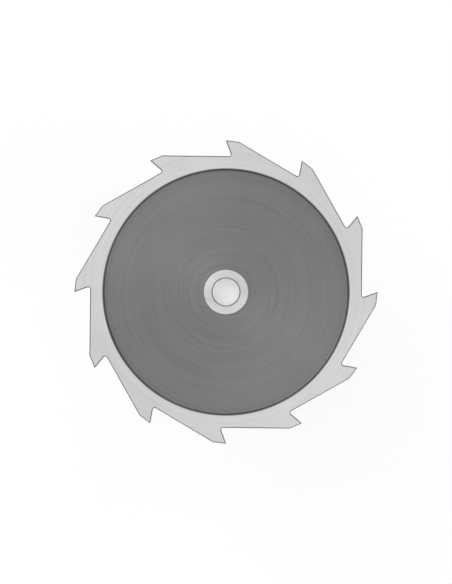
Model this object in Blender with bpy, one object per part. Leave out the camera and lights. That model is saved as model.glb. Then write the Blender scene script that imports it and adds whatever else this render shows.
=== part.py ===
"""Keyseat cutter for half-moon keys, with a plain round shank.

The tool is one solid of high-speed steel: a narrow disc with straight teeth on its rim, a neck
behind the disc that clears the work, and a shank for a collet. It stands on the end of its shank.
It cuts right-handed, so its teeth lead anticlockwise when the head is seen from above.

Lengths are in metres and angles in radians. +Z is up, and the origin is the middle of the end
face of the shank.
"""

from math import cos, pi, radians, sin, tan

import bmesh
import bpy
from mathutils import Matrix, Vector

# Cutting head. The width is the one at the tooth corners, which stand out furthest.
CUTTING_DIAMETER = 0.0285
HEAD_WIDTH = 0.008
RIM_WIDTH = 0.0027
SIDE_RELIEF = radians(0.75)

# Shallow recess in each side of the head
RECESS_DEPTH = 0.0005
RECESS_DRAFT = radians(15)
RECESS_FILLET = 0.0002

# Teeth
TOOTH_COUNT = 12
TOOTH_DEPTH = 0.0015
RAKE_ANGLE = radians(20)
LAND_WIDTH = 0.00125
LAND_RELIEF = radians(7)
GULLET_FILLET = 0.0002

# Neck and shank
NECK_DIAMETER = 0.0105
NECK_LENGTH = 0.018
NECK_FILLET = 0.0015
SHOULDER_LENGTH = 0.0015
SHANK_DIAMETER = 0.012
SHANK_LENGTH = 0.045
SHANK_CHAMFER = 0.0006

# Centre hole in each end: a drilled pilot under a countersink
PILOT_DIAMETER = 0.00255
PILOT_LENGTH = 0.0012
DRILL_POINT_ANGLE = radians(118)
COUNTERSINK_WIDTH = 0.00085
COUNTERSINK_ANGLE = radians(60)

# Fineness of the mesh
TURNED_FACETS = 96
FILLET_FACETS = 5
WELD_DISTANCE = 1e-7
SHARP_EDGE_ANGLE = radians(25)

# Finishes: name, grey level, roughness
GROUND, DARKENED = 0, 1
FINISHES = (
    ("ground_steel", 0.63, 0.3),
    ("darkened_steel", 0.2, 0.45),
)

tip_radius = CUTTING_DIAMETER / 2
blank_radius = tip_radius + TOOTH_DEPTH
recess_radius = tip_radius - RIM_WIDTH
mouth_radius = PILOT_DIAMETER / 2 + COUNTERSINK_WIDTH
head_back = SHANK_LENGTH + NECK_LENGTH
head_front = head_back + HEAD_WIDTH


def rounded(corners, closed=False):
    """Points along the straight lines through (x, y, fillet radius) corners, with fillets as arcs."""
    points = []
    for number, (x, y, fillet) in enumerate(corners):
        corner = Vector((x, y))
        is_end = not closed and number in (0, len(corners) - 1)
        if is_end or not fillet:
            points.append(corner)
            continue
        before = (Vector(corners[number - 1][:2]) - corner).normalized()
        after = (Vector(corners[(number + 1) % len(corners)][:2]) - corner).normalized()
        half_angle = before.angle(after) / 2
        centre = corner + (before + after).normalized() * fillet / sin(half_angle)
        start = corner + before * fillet / tan(half_angle) - centre
        turn = (pi - 2 * half_angle) * (1 if before.cross(after) < 0 else -1)
        for step in range(FILLET_FACETS + 1):
            points.append(centre + Matrix.Rotation(turn * step / FILLET_FACETS, 2) @ start)
    return points


def centre_hole(face, inwards):
    """Half section of a centre hole from its bottom to its mouth. Inwards is +1 up or -1 down."""
    pilot_radius = PILOT_DIAMETER / 2
    cone_foot = face + inwards * COUNTERSINK_WIDTH / tan(COUNTERSINK_ANGLE / 2)
    pilot_foot = cone_foot + inwards * PILOT_LENGTH
    drill_point = pilot_foot + inwards * pilot_radius / tan(DRILL_POINT_ANGLE / 2)
    return [
        (0, drill_point, 0),
        (pilot_radius, pilot_foot, 0),
        (pilot_radius, cone_foot, 0),
        (mouth_radius, face, 0),
    ]


def head_side(face, inwards):
    """Half section of one side of the head, from the foot of its recess's wall to the blank's edge.

    The side leans inwards towards the axis, so that only the tooth corners have the full width.
    """
    lean = tan(SIDE_RELIEF)
    rim_drop = RIM_WIDTH * lean
    wall_foot_radius = recess_radius - (RECESS_DEPTH - rim_drop) * tan(RECESS_DRAFT)
    return [
        (wall_foot_radius, face + inwards * RECESS_DEPTH, RECESS_FILLET),
        (recess_radius, face + inwards * rim_drop, 0),
        (blank_radius, face - inwards * (blank_radius - tip_radius) * lean, 0),
    ]


def turned_section():
    """Half section of the whole blank as (radius, height, fillet radius) corners, from the top down."""
    neck_radius = NECK_DIAMETER / 2
    shank_radius = SHANK_DIAMETER / 2
    return [
        *centre_hole(head_front - RECESS_DEPTH, -1),
        *head_side(head_front, -1),
        *reversed(head_side(head_back, 1)),
        (neck_radius, head_back + RECESS_DEPTH, NECK_FILLET),
        (neck_radius, SHANK_LENGTH + SHOULDER_LENGTH, 0),
        (shank_radius, SHANK_LENGTH, 0),
        (shank_radius, SHANK_CHAMFER, 0),
        (shank_radius - SHANK_CHAMFER, 0, 0),
        *reversed(centre_hole(0, 1)),
    ]


def turned_finish(face):
    """Darkened steel in the recesses and down the neck, and ground steel on the rest."""
    middle = face.calc_center_median()
    is_dark = middle.z > SHANK_LENGTH and mouth_radius < middle.xy.length < recess_radius
    return DARKENED if is_dark else GROUND


def turned_blank():
    """Mesh of the tool before its teeth are cut, so with a full rim."""
    blank = bmesh.new()
    corners = [blank.verts.new((radius, 0, height)) for radius, height in rounded(turned_section())]
    edges = [blank.edges.new(pair) for pair in zip(corners, corners[1:])]
    bmesh.ops.spin(
        blank,
        geom=corners + edges,
        axis=(0, 0, 1),
        cent=(0, 0, 0),
        angle=2 * pi,
        steps=TURNED_FACETS,
    )
    bmesh.ops.remove_doubles(blank, verts=blank.verts, dist=WELD_DISTANCE)
    # Half a facet's turn keeps the cutting edges off the borders between facets.
    bmesh.ops.rotate(blank, verts=blank.verts, matrix=Matrix.Rotation(pi / TURNED_FACETS, 3, "Z"))
    for face in blank.faces:
        face.material_index = turned_finish(face)
    return mesh_from(blank, "blank")


def tooth_outline():
    """Closed outline of the teeth, anticlockwise from above, with one cutting edge on +X.

    A tooth is its heel, its flat land up to the cutting edge and its undercut rake face. From the
    root of that, the floor of the gullet runs straight to the heel of the next tooth.
    """
    tip = Vector((tip_radius, 0))
    heel = tip - LAND_WIDTH * Vector((sin(LAND_RELIEF), cos(LAND_RELIEF)))
    root = tip - TOOTH_DEPTH * Vector((1, tan(RAKE_ANGLE)))
    corners = []
    for tooth in range(TOOTH_COUNT):
        turn = Matrix.Rotation(2 * pi * tooth / TOOTH_COUNT, 2)
        for point, fillet in ((heel, 0), (tip, 0), (root, GULLET_FILLET)):
            corners.append((*(turn @ point), fillet))
    return rounded(corners, closed=True)


def gullet_cutter():
    """Mesh of a ring that clears the blank's rim, with the outline of the teeth as its bore."""
    overrun = TOOTH_DEPTH
    outer_radius = blank_radius + overrun
    turns = [2 * pi * step / TURNED_FACETS for step in range(TURNED_FACETS)]
    circle = [Vector((outer_radius * cos(turn), outer_radius * sin(turn))) for turn in turns]
    ring = bmesh.new()
    for loop in (tooth_outline(), circle):
        corners = [ring.verts.new((*point, head_back - overrun)) for point in loop]
        for pair in zip(corners, corners[1:] + corners[:1]):
            ring.edges.new(pair)
    bmesh.ops.triangle_fill(ring, edges=ring.edges, use_beauty=True)
    raised = bmesh.ops.extrude_face_region(ring, geom=ring.faces[:])["geom"]
    bmesh.ops.translate(
        ring,
        verts=[item for item in raised if isinstance(item, bmesh.types.BMVert)],
        vec=(0, 0, HEAD_WIDTH + 2 * overrun),
    )
    return mesh_from(ring, "gullet_cutter")


def mesh_from(shape, name):
    """Mesh data from a closed bmesh, with its faces pointing out."""
    bmesh.ops.recalc_face_normals(shape, faces=shape.faces)
    mesh = bpy.data.meshes.new(name)
    shape.to_mesh(mesh)
    shape.free()
    return mesh


def steel(name, grey, roughness):
    """Bare metal of one grey level."""
    material = bpy.data.materials.new(name)
    material.use_nodes = True
    shader = material.node_tree.nodes["Principled BSDF"]
    shader.inputs["Base Color"].default_value = (grey, grey, grey, 1)
    shader.inputs["Metallic"].default_value = 1
    shader.inputs["Roughness"].default_value = roughness
    material.diffuse_color = (grey, grey, grey, 1)
    return material


def placed(mesh, name):
    """New object in the scene that shows the mesh."""
    item = bpy.data.objects.new(name, mesh)
    bpy.context.collection.objects.link(item)
    return item


def make_cutter():
    """The finished tool: the turned blank with its gullets cut away."""
    blank = turned_blank()
    gullets = gullet_cutter()
    for finish in FINISHES:
        material = steel(*finish)
        blank.materials.append(material)
        gullets.materials.append(material)
    tool = placed(blank, "keyseat_cutter")
    ring = placed(gullets, "gullet_cutter")
    cut = tool.modifiers.new("gullets", "BOOLEAN")
    cut.operation = "DIFFERENCE"
    cut.solver = "EXACT"
    cut.object = ring
    cut_tool = tool.evaluated_get(bpy.context.evaluated_depsgraph_get())
    tool.data = bpy.data.meshes.new_from_object(cut_tool)
    tool.modifiers.remove(cut)
    bpy.data.objects.remove(ring)
    tool.data.name = tool.name
    tool.data.shade_smooth()
    tool.data.set_sharp_from_angle(angle=SHARP_EDGE_ANGLE)


for leftover in list(bpy.data.objects):
    bpy.data.objects.remove(leftover)
make_cutter()
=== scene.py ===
"""Looks of the keyseat cutter: its ground and darkened steel surface, a white studio and the camera.

Lengths are in metres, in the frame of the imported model: +Z up, the end of the shank at the origin.
"""

from math import ceil, cos, pi, radians, sin, tan

import bmesh
import bpy
from mathutils import Matrix, Vector


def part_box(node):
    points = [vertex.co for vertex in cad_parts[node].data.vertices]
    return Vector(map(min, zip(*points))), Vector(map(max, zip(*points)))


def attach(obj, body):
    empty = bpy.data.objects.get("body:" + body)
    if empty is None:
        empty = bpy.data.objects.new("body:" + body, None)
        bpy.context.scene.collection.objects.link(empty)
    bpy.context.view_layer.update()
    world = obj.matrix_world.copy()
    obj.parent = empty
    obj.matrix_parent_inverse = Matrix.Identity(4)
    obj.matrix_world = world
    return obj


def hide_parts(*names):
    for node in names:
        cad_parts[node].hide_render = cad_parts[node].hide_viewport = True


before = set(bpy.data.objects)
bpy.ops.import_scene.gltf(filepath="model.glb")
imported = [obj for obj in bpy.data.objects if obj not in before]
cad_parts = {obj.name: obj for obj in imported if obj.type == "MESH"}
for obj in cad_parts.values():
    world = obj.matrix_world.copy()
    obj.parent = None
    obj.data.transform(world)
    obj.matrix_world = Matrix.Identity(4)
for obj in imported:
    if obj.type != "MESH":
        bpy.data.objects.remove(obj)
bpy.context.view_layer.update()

NODE = "keyseat_cutter"

# Cutting head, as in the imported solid
HEAD_WIDTH = 0.008
RIM_WIDTH = 0.0027
SIDE_RELIEF = radians(0.75)
RECESS_DEPTH = 0.0005
RECESS_DRAFT = radians(15)
RECESS_FILLET = 0.0002

# Teeth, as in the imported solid
TOOTH_COUNT = 12
TOOTH_DEPTH = 0.0015
RAKE_ANGLE = radians(20)
LAND_WIDTH = 0.00125
LAND_RELIEF = radians(7)
GULLET_FILLET = 0.0002

# Neck and shank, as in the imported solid
NECK_DIAMETER = 0.0105
NECK_LENGTH = 0.018
NECK_FILLET = 0.0015
SHOULDER_LENGTH = 0.0015
SHANK_DIAMETER = 0.012
SHANK_CHAMFER = 0.0006

# Centre holes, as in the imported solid
PILOT_DIAMETER = 0.00255
PILOT_LENGTH = 0.0012
DRILL_POINT_ANGLE = radians(118)
COUNTERSINK_WIDTH = 0.00085
COUNTERSINK_ANGLE = radians(60)

# Broken edges and soft corners, which only the visible surface has
EDGE_BREAK = 0.00004
TOOTH_EDGE_BREAK = 0.00008
SHOULDER_FILLET = 0.0004

# How far the surface beside a broken edge belongs to it, and how far up a countersink its lighter colour
# starts, which is painted light
EDGE_REACH = 2 * EDGE_BREAK
PAINTED_LIGHT_START = 0.00018

# Fineness of the mesh
LAND_STEPS = 4
RAKE_STEPS = 5
ROOT_STEPS = 8
FLANK_STEPS = 23
FILLET_STEP = radians(15)
HOLDING_SHARE = 0.25
LONGEST_BAND = 0.003
WELD_DISTANCE = 1e-7
SHARP_EDGE_ANGLE = radians(20)

# Where the spokes of the rim's mesh start on a circle, so that they reach the teeth inside the metal
SPOKE_AT_HEEL = radians(-12)
SPOKE_AT_TIP = radians(-9)
SPOKE_AT_ROOT = radians(-5.2)

# The way into the metal, from a face that looks up and from one that looks down
DOWN = -1
UP = 1

# Noise of the tool marks and of the clouds over them. Its factor mostly stays between low and high.
MARK_DETAIL = 3.0
CLOUD_DETAIL = 2.0
CLOUD_SIZE = 0.004
NOISE_ROUGHNESS = 0.6
NOISE_LOW = 0.3
NOISE_HIGH = 0.7

# The share of a finish's contrast that the clouds have
CLOUDS_ON_GREY = 0.5

# The share of a finish's roughness by which the marks and the clouds raise and lower it
MARKS_ON_ROUGHNESS = 0.15
CLOUDS_ON_ROUGHNESS = 0.08

# The way in which a surface's tool marks run, as the share of a turn from the axis of the tool
ALONG_AXIS = 0.0
ROUND_AXIS = 0.25

# Studio. A strength or radiance of 1 is white.
WORLD_ON_SURFACES = 0.87
FLOOR_SIZE = 4.0
FLOOR_GREY = 0.6
FLOOR_LIFT = 0.44
FLOOR_GAP = 0.00002
CARD_FOOT_DISTANCE = 0.02
CARD_TOP_DISTANCE = 0.2
CARD_HEIGHT = 0.11
CARD_GREY = 0.1

# The picture's frame, with the diameter of the cutting circle in its pixels
PICTURE_HEIGHT = 584
CUTTING_CIRCLE_PIXELS = 303.46
CAMERA_DISTANCE = 0.9
SENSOR_WIDTH = 36

cad_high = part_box(NODE)[1]
pitch_angle = 2 * pi / TOOTH_COUNT
tip_radius = cad_high.x
head_front = cad_high.z
head_back = head_front - HEAD_WIDTH
shank_length = head_back - NECK_LENGTH
recess_radius = tip_radius - RIM_WIDTH
pilot_radius = PILOT_DIAMETER / 2
mouth_radius = pilot_radius + COUNTERSINK_WIDTH
face_start = mouth_radius + EDGE_REACH
rim_start = recess_radius + EDGE_REACH

# The finishes, in the order of the piece's material slots
RIM, GULLET, LAND, DARKENED, SHANK, COUNTERSINK, PILOT = range(7)


# Shape of the steel


def turned(vector, angle):
    """A flat vector turned anticlockwise."""
    return Matrix.Rotation(angle, 2) @ vector


def fillet_arc(corner, before, after, radius, steps=None):
    """Points of the fillet of a corner between two others. A point held close to each of its ends
    keeps the flats beside it shading flat."""
    to_before = (before - corner).normalized()
    to_after = (after - corner).normalized()
    half_angle = to_before.angle(to_after) / 2
    reach = radius / tan(half_angle)
    held = reach * (1 + HOLDING_SHARE)
    centre = corner + (to_before + to_after).normalized() * radius / sin(half_angle)
    start = corner + to_before * reach - centre
    swing = (pi - 2 * half_angle) * (1 if to_before.cross(to_after) < 0 else -1)
    steps = steps or ceil(abs(swing) / FILLET_STEP)
    arc = [centre + turned(start, swing * step / steps) for step in range(steps + 1)]
    return [corner + to_before * held, *arc, corner + to_after * held]


def section(corners):
    """Points along straight lines through corners of (radius, height, fillet radius), where the two
    ends have no fillet. No gap between the points is longer than a band of faces may be."""
    flat = [Vector(corner[:2]) for corner in corners]
    line = [flat[0]]
    for number in range(1, len(corners) - 1):
        before, corner, after = flat[number - 1 : number + 2]
        line += fillet_arc(corner, before, after, corners[number][2])
    line.append(flat[-1])
    points = [line[0]]
    for start, end in zip(line, line[1:]):
        steps = ceil((end - start).length / LONGEST_BAND)
        points += [start.lerp(end, step / steps) for step in range(1, steps + 1)]
    return points


def run(start, end, steps):
    """Evenly spaced values or points from start up to, and not including, end."""
    return [start + (end - start) * step / steps for step in range(steps)]


def tooth_line():
    """Outline of one tooth and its gullet from its heel to the next heel, with its tip on +X."""
    tip = Vector((tip_radius, 0))
    heel = tip - LAND_WIDTH * Vector((sin(LAND_RELIEF), cos(LAND_RELIEF)))
    root = tip - TOOTH_DEPTH * Vector((1, tan(RAKE_ANGLE)))
    next_heel = turned(heel, pitch_angle)
    rake_end, *root_arc, flank_start = fillet_arc(root, tip, next_heel, GULLET_FILLET, ROOT_STEPS)
    return [
        *run(heel, tip, LAND_STEPS),
        *run(tip, rake_end, RAKE_STEPS - 1),
        rake_end,
        *root_arc,
        *run(flank_start, next_heel, FLANK_STEPS - 1),
    ]


def spoke_angles():
    """The angle on a circle that goes with each point of tooth_line."""
    before_root = RAKE_STEPS + ROOT_STEPS // 2
    after_root = ROOT_STEPS - ROOT_STEPS // 2 + FLANK_STEPS
    return [
        *run(SPOKE_AT_HEEL, SPOKE_AT_TIP, LAND_STEPS),
        *run(SPOKE_AT_TIP, SPOKE_AT_ROOT, before_root),
        *run(SPOKE_AT_ROOT, SPOKE_AT_HEEL + pitch_angle, after_root),
    ]


turns = [pitch_angle * tooth for tooth in range(TOOTH_COUNT)]
tooth_outline = [turned(point, turn) for turn in turns for point in tooth_line()]
spokes = [turned(Vector((1, 0)), turn + angle) for turn in turns for angle in spoke_angles()]


def inset(outline, distance):
    """An anticlockwise outline moved inwards, with its corners kept sharp."""
    moved = []
    for number, point in enumerate(outline):
        before = (point - outline[number - 1]).normalized()
        after = (outline[(number + 1) % len(outline)] - point).normalized()
        to_inside = Vector((-before.y - after.y, before.x + after.x))
        moved.append(point + to_inside * distance / (1 + before.dot(after)))
    return moved


def side_height(radius, face, inwards):
    """Height of a side of the head, which leans into the metal towards the axis."""
    return face + inwards * (tip_radius - radius) * tan(SIDE_RELIEF)


def tooth_ring(outline, edge_break, share):
    """Ring of points along an outline of the teeth, a share of the way from front to back."""
    ring = []
    for point in outline:
        front = side_height(point.length, head_front, DOWN) - edge_break
        back = side_height(point.length, head_back, UP) + edge_break
        ring.append((*point, front + (back - front) * share))
    return ring


def rim_ring(face, inwards):
    """Ring of points on the rim, just outside the recess."""
    return [(*(spoke * rim_start), side_height(rim_start, face, inwards)) for spoke in spokes]


def add_bands(surface, rings, finishes):
    """Bands of faces between rings of points. There is a finish for the stretch after each point."""
    for upper, lower in zip(rings, rings[1:]):
        uppers = [surface.verts.new(point) for point in upper]
        lowers = [surface.verts.new(point) for point in lower]
        for number in range(len(finishes)):
            corners = (uppers[number - 1], lowers[number - 1], lowers[number], uppers[number])
            surface.faces.new(corners).material_index = finishes[number - 1]


def add_turned(surface, corners, finish):
    """A turned stretch of the surface in one finish."""
    rings = [[(*(spoke * point.x), point.y) for spoke in spokes] for point in section(corners)]
    add_bands(surface, rings, [finish] * len(spokes))


def add_centre_hole(surface, face, inwards):
    """A pilot hole with its drill point, and the countersink round its mouth. The countersink's cone and
    the pilot get greys far lighter than steel, painted light that keeps these hollows bright; the
    countersink's edges stay dark."""
    cone_foot = face + inwards * COUNTERSINK_WIDTH / tan(COUNTERSINK_ANGLE / 2)
    pilot_foot = cone_foot + inwards * PILOT_LENGTH
    drill_point = pilot_foot + inwards * pilot_radius / tan(DRILL_POINT_ANGLE / 2)
    pilot_mouth = Vector((pilot_radius, cone_foot))
    countersink_mouth = Vector((mouth_radius, face))
    up_cone = (countersink_mouth - pilot_mouth).normalized()
    pilot_end = pilot_mouth + Vector((0, inwards * EDGE_REACH))
    painted_light_start = pilot_mouth + up_cone * PAINTED_LIGHT_START
    painted_light_end = countersink_mouth - up_cone * EDGE_REACH
    add_turned(surface, [(0, drill_point), (pilot_radius, pilot_foot, EDGE_BREAK), pilot_end], PILOT)
    add_turned(surface, [pilot_end, (*pilot_mouth, EDGE_BREAK), painted_light_start], DARKENED)
    # The light band of the cone, whose colour is painted light
    add_turned(surface, [painted_light_start, painted_light_end], COUNTERSINK)
    add_turned(surface, [painted_light_end, (*countersink_mouth, EDGE_BREAK), (face_start, face)], DARKENED)


def recess_corners(face, inwards):
    """Corners of the recess in a side of the head, from the foot of its wall out to the rim."""
    wall_height = RECESS_DEPTH - RIM_WIDTH * tan(SIDE_RELIEF)
    return [
        (recess_radius - wall_height * tan(RECESS_DRAFT), face + inwards * RECESS_DEPTH, RECESS_FILLET),
        (recess_radius, side_height(recess_radius, face, inwards), EDGE_BREAK),
        (rim_start, side_height(rim_start, face, inwards)),
    ]


def add_teeth(surface):
    """The rim of both sides of the head, and the teeth between them. The edges were broken before
    the hardening, and have stayed dark."""
    on_rim = [RIM] * len(spokes)
    on_edges = [DARKENED] * len(spokes)
    gullet_steps = len(spokes) // TOOTH_COUNT - LAND_STEPS
    on_teeth = ([LAND] * LAND_STEPS + [GULLET] * gullet_steps) * TOOTH_COUNT
    broken = inset(tooth_outline, TOOTH_EDGE_BREAK)
    front = tooth_ring(broken, edge_break=0, share=0)
    back = tooth_ring(broken, edge_break=0, share=1)
    steps = ceil(HEAD_WIDTH / LONGEST_BAND)
    between = [tooth_ring(tooth_outline, TOOTH_EDGE_BREAK, step / steps) for step in range(steps + 1)]
    add_bands(surface, [rim_ring(head_front, DOWN), front], on_rim)
    add_bands(surface, [front, between[0]], on_edges)
    add_bands(surface, between, on_teeth)
    add_bands(surface, [between[-1], back], on_edges)
    add_bands(surface, [back, rim_ring(head_back, UP)], on_rim)


def add_neck_and_shank(surface):
    """Everything behind the head, down to the edge of the centre hole in the shank's end."""
    neck_radius = NECK_DIAMETER / 2
    shank_radius = SHANK_DIAMETER / 2
    shank_top = (shank_radius, shank_length - SHOULDER_FILLET)
    neck = [
        (neck_radius, head_back + RECESS_DEPTH, NECK_FILLET),
        (neck_radius, shank_length + SHOULDER_LENGTH, SHOULDER_FILLET),
        (shank_radius, shank_length, SHOULDER_FILLET),
        shank_top,
    ]
    shank = [
        shank_top,
        (shank_radius, SHANK_CHAMFER, EDGE_BREAK),
        (shank_radius - SHANK_CHAMFER, 0, EDGE_BREAK),
        (face_start, 0),
    ]
    add_turned(surface, [*reversed(recess_corners(head_back, UP)), *neck], DARKENED)
    add_turned(surface, shank, SHANK)


def make_cutter():
    """The whole visible surface of the tool as one closed piece."""
    recess_floor = head_front - RECESS_DEPTH
    surface = bmesh.new()
    add_centre_hole(surface, recess_floor, DOWN)
    add_turned(surface, [(face_start, recess_floor), *recess_corners(head_front, DOWN)], DARKENED)
    add_teeth(surface)
    add_neck_and_shank(surface)
    add_centre_hole(surface, 0, UP)
    bmesh.ops.remove_doubles(surface, verts=surface.verts, dist=WELD_DISTANCE)
    bmesh.ops.recalc_face_normals(surface, faces=surface.faces)
    mesh = bpy.data.meshes.new("cutter")
    surface.to_mesh(mesh)
    surface.free()
    mesh.shade_smooth()
    mesh.set_sharp_from_angle(angle=SHARP_EDGE_ANGLE)
    cutter = bpy.data.objects.new("cutter", mesh)
    bpy.context.scene.collection.objects.link(cutter)
    return cutter


# Patterns of the steel


def add_node(tree, kind, inputs=None, **settings):
    """A new node, with its inputs linked to a socket or set to a value."""
    node = tree.nodes.new(kind)
    for name, value in settings.items():
        setattr(node, name, value)
    for name, value in (inputs or {}).items():
        if isinstance(value, bpy.types.NodeSocket):
            tree.links.new(value, node.inputs[name])
        else:
            node.inputs[name].default_value = value
    return node


def calculated(tree, operation, first, second):
    """Result of a Math node."""
    return add_node(tree, "ShaderNodeMath", {0: first, 1: second}, operation=operation).outputs[0]


def scaled(tree, vector, scale):
    """A vector multiplied by a scale for each axis."""
    inputs = {0: vector, 1: scale}
    return add_node(tree, "ShaderNodeVectorMath", inputs, operation="MULTIPLY").outputs["Vector"]


def object_place(tree):
    """The place of a point of the surface, in metres."""
    return add_node(tree, "ShaderNodeTexCoord").outputs["Object"]


def varied(tree, factor, middle, share):
    """A noise factor turned into values from a share below a middle value to a share above it."""
    inputs = {
        "Value": factor,
        "From Min": NOISE_LOW,
        "From Max": NOISE_HIGH,
        "To Min": middle * (1 - share),
        "To Max": middle * (1 + share),
    }
    return add_node(tree, "ShaderNodeMapRange", inputs).outputs["Result"]


def noise(tree, vector, detail, fourth=0.0):
    """Noise factor with features about one unit of the vector wide."""
    inputs = {"Vector": vector, "W": fourth, "Scale": 1.0, "Detail": detail, "Roughness": NOISE_ROUGHNESS}
    return add_node(tree, "ShaderNodeTexNoise", inputs, noise_dimensions="4D").outputs["Fac"]


def turning_marks(tree, pitch, changes):
    """Noise drawn out round the axis. Its lines are a pitch wide, and change along a turn."""
    place = object_place(tree)
    flat = scaled(tree, place, (1, 1, 0))
    radius = add_node(tree, "ShaderNodeVectorMath", {0: flat}, operation="LENGTH").outputs["Value"]
    spoke = add_node(tree, "ShaderNodeVectorMath", {0: flat}, operation="NORMALIZE").outputs["Vector"]
    around = add_node(tree, "ShaderNodeSeparateXYZ", {0: spoke}).outputs
    height = add_node(tree, "ShaderNodeSeparateXYZ", {0: place}).outputs["Z"]
    across = {
        "X": calculated(tree, "DIVIDE", radius, pitch),
        "Y": calculated(tree, "DIVIDE", height, pitch),
        "Z": calculated(tree, "MULTIPLY", around["X"], changes),
    }
    vector = add_node(tree, "ShaderNodeCombineXYZ", across).outputs["Vector"]
    return noise(tree, vector, MARK_DETAIL, calculated(tree, "MULTIPLY", around["Y"], changes))


def grinding_marks(tree, pitch, length):
    """Noise drawn out along the axis, as left by a wheel that runs through the gullets."""
    return noise(tree, scaled(tree, object_place(tree), (1 / pitch, 1 / pitch, 1 / length)), MARK_DETAIL)


def clouds(tree):
    """Soft noise without direction."""
    return noise(tree, scaled(tree, object_place(tree), (1 / CLOUD_SIZE,) * 3), CLOUD_DETAIL)


# Finishes


def bare_steel(name, lay, anisotropy):
    """A plain metal material, whose highlights spread across its tool marks."""
    material = bpy.data.materials.new(name)
    material.use_nodes = True
    tree = material.node_tree
    shader = tree.nodes["Principled BSDF"]
    tangent = add_node(tree, "ShaderNodeTangent", direction_type="RADIAL", axis="Z")
    tree.links.new(tangent.outputs["Tangent"], shader.inputs["Tangent"])
    shader.inputs["Metallic"].default_value = 1.0
    shader.inputs["Anisotropic"].default_value = anisotropy
    shader.inputs["Anisotropic Rotation"].default_value = lay
    return material


def dress(material, marks, grey, contrast, roughness, relief):
    """Colour, roughness and relief that follow the tool marks, under faint clouds."""
    tree = material.node_tree
    shader = tree.nodes["Principled BSDF"]
    cloud = clouds(tree)
    mark_grey = varied(tree, marks, grey, contrast)
    cloud_grey = varied(tree, cloud, 1, contrast * CLOUDS_ON_GREY)
    mark_roughness = varied(tree, marks, roughness, MARKS_ON_ROUGHNESS)
    cloud_roughness = varied(tree, cloud, 1, CLOUDS_ON_ROUGHNESS)
    colour = calculated(tree, "MULTIPLY", mark_grey, cloud_grey)
    rough = calculated(tree, "MULTIPLY", mark_roughness, cloud_roughness)
    bump = add_node(tree, "ShaderNodeBump", {"Distance": relief, "Height": marks})
    tree.links.new(colour, shader.inputs["Base Color"])
    tree.links.new(rough, shader.inputs["Roughness"])
    tree.links.new(bump.outputs["Normal"], shader.inputs["Normal"])
    return material


def rim_finish():
    """Sides of the head outside the recesses, ground in rings."""
    material = bare_steel("ground_rim", ROUND_AXIS, anisotropy=0.6)
    marks = turning_marks(material.node_tree, pitch=0.00012, changes=1.0)
    return dress(material, marks, grey=0.605, contrast=0.05, roughness=0.3, relief=2e-6)


def gullet_finish():
    """Rakes and floors of the gullets, ground along the tool's axis."""
    material = bare_steel("ground_gullet", ALONG_AXIS, anisotropy=0.5)
    marks = grinding_marks(material.node_tree, pitch=0.00008, length=0.02)
    return dress(material, marks, grey=0.58, contrast=0.06, roughness=0.28, relief=2e-6)


def land_finish():
    """Lands behind the cutting edges, the finest ground surface of the head."""
    material = bare_steel("ground_land", ROUND_AXIS, anisotropy=0.5)
    marks = turning_marks(material.node_tree, pitch=0.00006, changes=2.0)
    return dress(material, marks, grey=0.66, contrast=0.04, roughness=0.22, relief=1e-6)


def darkened_finish():
    """Recesses, neck and broken edges, darkened by the hardening after they were turned."""
    material = bare_steel("darkened", ROUND_AXIS, anisotropy=0.6)
    marks = turning_marks(material.node_tree, pitch=0.00018, changes=0.5)
    return dress(material, marks, grey=0.195, contrast=0.1, roughness=0.42, relief=5e-6)


def shank_finish():
    """Shank, ground to fit a collet."""
    material = bare_steel("ground_shank", ROUND_AXIS, anisotropy=0.9)
    marks = turning_marks(material.node_tree, pitch=0.0001, changes=1.0)
    return dress(material, marks, grey=0.61, contrast=0.04, roughness=0.34, relief=1e-6)


def countersink_finish_with_painted_light():
    """Cones of the centre holes, where the centres that held the tool ran. Their grey is far lighter than
    steel: painted light that keeps the cones bright inside the holes.
    """
    material = bare_steel("countersink", ROUND_AXIS, anisotropy=0.8)
    marks = turning_marks(material.node_tree, pitch=0.00008, changes=1.0)
    # grey 0.84 is painted light, far lighter than steel, so that the cone stays bright inside its hole
    return dress(material, marks, grey=0.84, contrast=0.03, roughness=0.5, relief=1e-6)


def pilot_finish_with_painted_light():
    """Pilot holes, as the drill left them, too rough for highlights that follow the marks. Their grey,
    lighter than any steel, is painted light that keeps the bottoms of the holes bright.
    """
    material = bare_steel("drilled_pilot_painted_light", ROUND_AXIS, anisotropy=0.0)
    marks = turning_marks(material.node_tree, pitch=0.0001, changes=1.0)
    # grey 0.95 is painted light, lighter than any steel, so that the bottom of the hole stays bright
    return dress(material, marks, grey=0.95, contrast=0.03, roughness=0.6, relief=2e-6)


# Studio


def seen_directly(tree):
    """1 for camera, glossy and transmission rays, and 0 for the rest."""
    path = add_node(tree, "ShaderNodeLightPath").outputs
    seen = calculated(tree, "MAXIMUM", path["Is Camera Ray"], path["Is Glossy Ray"])
    return calculated(tree, "MAXIMUM", seen, path["Is Transmission Ray"])


def make_world():
    """White wherever the camera or the steel looks, and soft even light on everything else."""
    world = bpy.data.worlds.new("studio")
    world.use_nodes = True
    tree = world.node_tree
    extra = calculated(tree, "MULTIPLY", seen_directly(tree), 1 - WORLD_ON_SURFACES)
    background = tree.nodes["Background"]
    background.inputs["Color"].default_value = (1, 1, 1, 1)
    strength = calculated(tree, "ADD", extra, WORLD_ON_SURFACES)
    tree.links.new(strength, background.inputs["Strength"])
    bpy.context.scene.world = world


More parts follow.
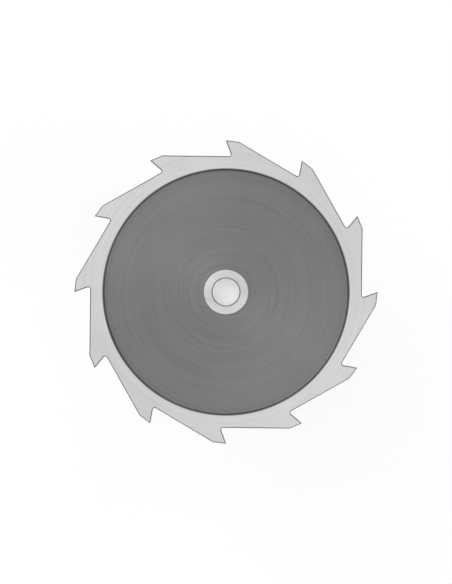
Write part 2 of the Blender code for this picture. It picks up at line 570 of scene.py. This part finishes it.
def floor_paint():
    """White that keeps the shadow of the tool, and can be seen through from below."""
    material = bpy.data.materials.new("floor")
    material.use_nodes = True
    tree = material.node_tree
    tree.nodes.remove(tree.nodes["Principled BSDF"])
    paint = add_node(tree, "ShaderNodeBsdfDiffuse", {"Color": (FLOOR_GREY, FLOOR_GREY, FLOOR_GREY, 1)})
    lift = calculated(tree, "MULTIPLY", seen_directly(tree), FLOOR_LIFT)
    glow = add_node(tree, "ShaderNodeEmission", {"Color": (1, 1, 1, 1), "Strength": lift})
    top = add_node(tree, "ShaderNodeAddShader", {0: paint.outputs[0], 1: glow.outputs[0]})
    underside = add_node(tree, "ShaderNodeBsdfTransparent")
    from_below = add_node(tree, "ShaderNodeNewGeometry").outputs["Backfacing"]
    sides = {0: from_below, 1: top.outputs[0], 2: underside.outputs[0]}
    both = add_node(tree, "ShaderNodeMixShader", sides)
    tree.links.new(both.outputs[0], tree.nodes["Material Output"].inputs["Surface"])
    return material


def make_floor():
    """Wide floor, so close under the tool that no gap shows."""
    bpy.ops.mesh.primitive_plane_add(size=FLOOR_SIZE, location=(0, 0, -FLOOR_GAP))
    floor = bpy.context.object
    floor.name = "floor"
    floor.data.materials.append(floor_paint())


def card_paint():
    """Matt dark grey."""
    material = bpy.data.materials.new("card")
    material.use_nodes = True
    shader = material.node_tree.nodes["Principled BSDF"]
    shader.inputs["Base Color"].default_value = (CARD_GREY, CARD_GREY, CARD_GREY, 1)
    shader.inputs["Roughness"].default_value = 1.0
    shader.inputs["Specular IOR Level"].default_value = 0.0
    return material


def make_card(name, azimuth, width):
    """Dark wedge of card that rises away from the foot of the tool. Only the steel reflects it, as
    a darker band between the lights. Its width is an angle."""
    foot = (CARD_FOOT_DISTANCE, 0)
    top = (CARD_TOP_DISTANCE, CARD_HEIGHT)
    corners = []
    for side, ends in ((-1, (foot, top)), (1, (top, foot))):
        angle = azimuth + side * width / 2
        corners += [(distance * cos(angle), distance * sin(angle), height) for distance, height in ends]
    mesh = bpy.data.meshes.new(name)
    mesh.from_pydata(corners, [], [(0, 1, 2, 3)])
    mesh.materials.append(card_paint())
    card = bpy.data.objects.new(name, mesh)
    bpy.context.scene.collection.objects.link(card)
    card.visible_camera = False
    card.visible_diffuse = False
    card.visible_transmission = False
    card.visible_shadow = False


def make_lamp(name, azimuth, elevation, width, radiance):
    """Soft round light, so far off that the floor is lit evenly. Its width is an angle."""
    light = bpy.data.lights.new(name, "SUN")
    light.angle = width
    light.energy = radiance * pi * sin(width / 2) ** 2
    across = cos(elevation)
    towards_lamp = Vector((across * cos(azimuth), across * sin(azimuth), sin(elevation)))
    lamp = bpy.data.objects.new(name, light)
    lamp.rotation_euler = towards_lamp.to_track_quat("Z", "Y").to_euler()
    lamp.visible_camera = False
    bpy.context.scene.collection.objects.link(lamp)


def make_camera():
    """Looks straight down on the head, with the picture's top towards +Y."""
    pixel = 2 * tip_radius / CUTTING_CIRCLE_PIXELS
    camera = bpy.data.cameras.new("camera")
    camera.sensor_width = SENSOR_WIDTH
    camera.lens = SENSOR_WIDTH * CAMERA_DISTANCE / (PICTURE_HEIGHT * pixel)
    holder = bpy.data.objects.new("camera", camera)
    holder.location = (0, 0, head_front + CAMERA_DISTANCE)
    bpy.context.scene.collection.objects.link(holder)
    bpy.context.scene.camera = holder


cutter = make_cutter()
cutter.data.materials.append(rim_finish())
cutter.data.materials.append(gullet_finish())
cutter.data.materials.append(land_finish())
cutter.data.materials.append(darkened_finish())
cutter.data.materials.append(shank_finish())
cutter.data.materials.append(countersink_finish_with_painted_light())
cutter.data.materials.append(pilot_finish_with_painted_light())
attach(cutter, "root")
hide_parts(NODE)

make_world()
make_floor()
make_card("card_right", azimuth=radians(15), width=radians(36))
make_card("card_back", azimuth=radians(97), width=radians(30))
make_card("card_left", azimuth=radians(185), width=radians(38))
make_card("card_front", azimuth=radians(262), width=radians(33))
make_lamp("key", azimuth=radians(135), elevation=radians(50), width=radians(55), radiance=0.5)
make_lamp("fill", azimuth=radians(-30), elevation=radians(35), width=radians(40), radiance=0.4)
make_lamp("back", azimuth=radians(60), elevation=radians(30), width=radians(25), radiance=0.5)
make_camera()
bpy.context.scene.view_settings.view_transform = "Standard"
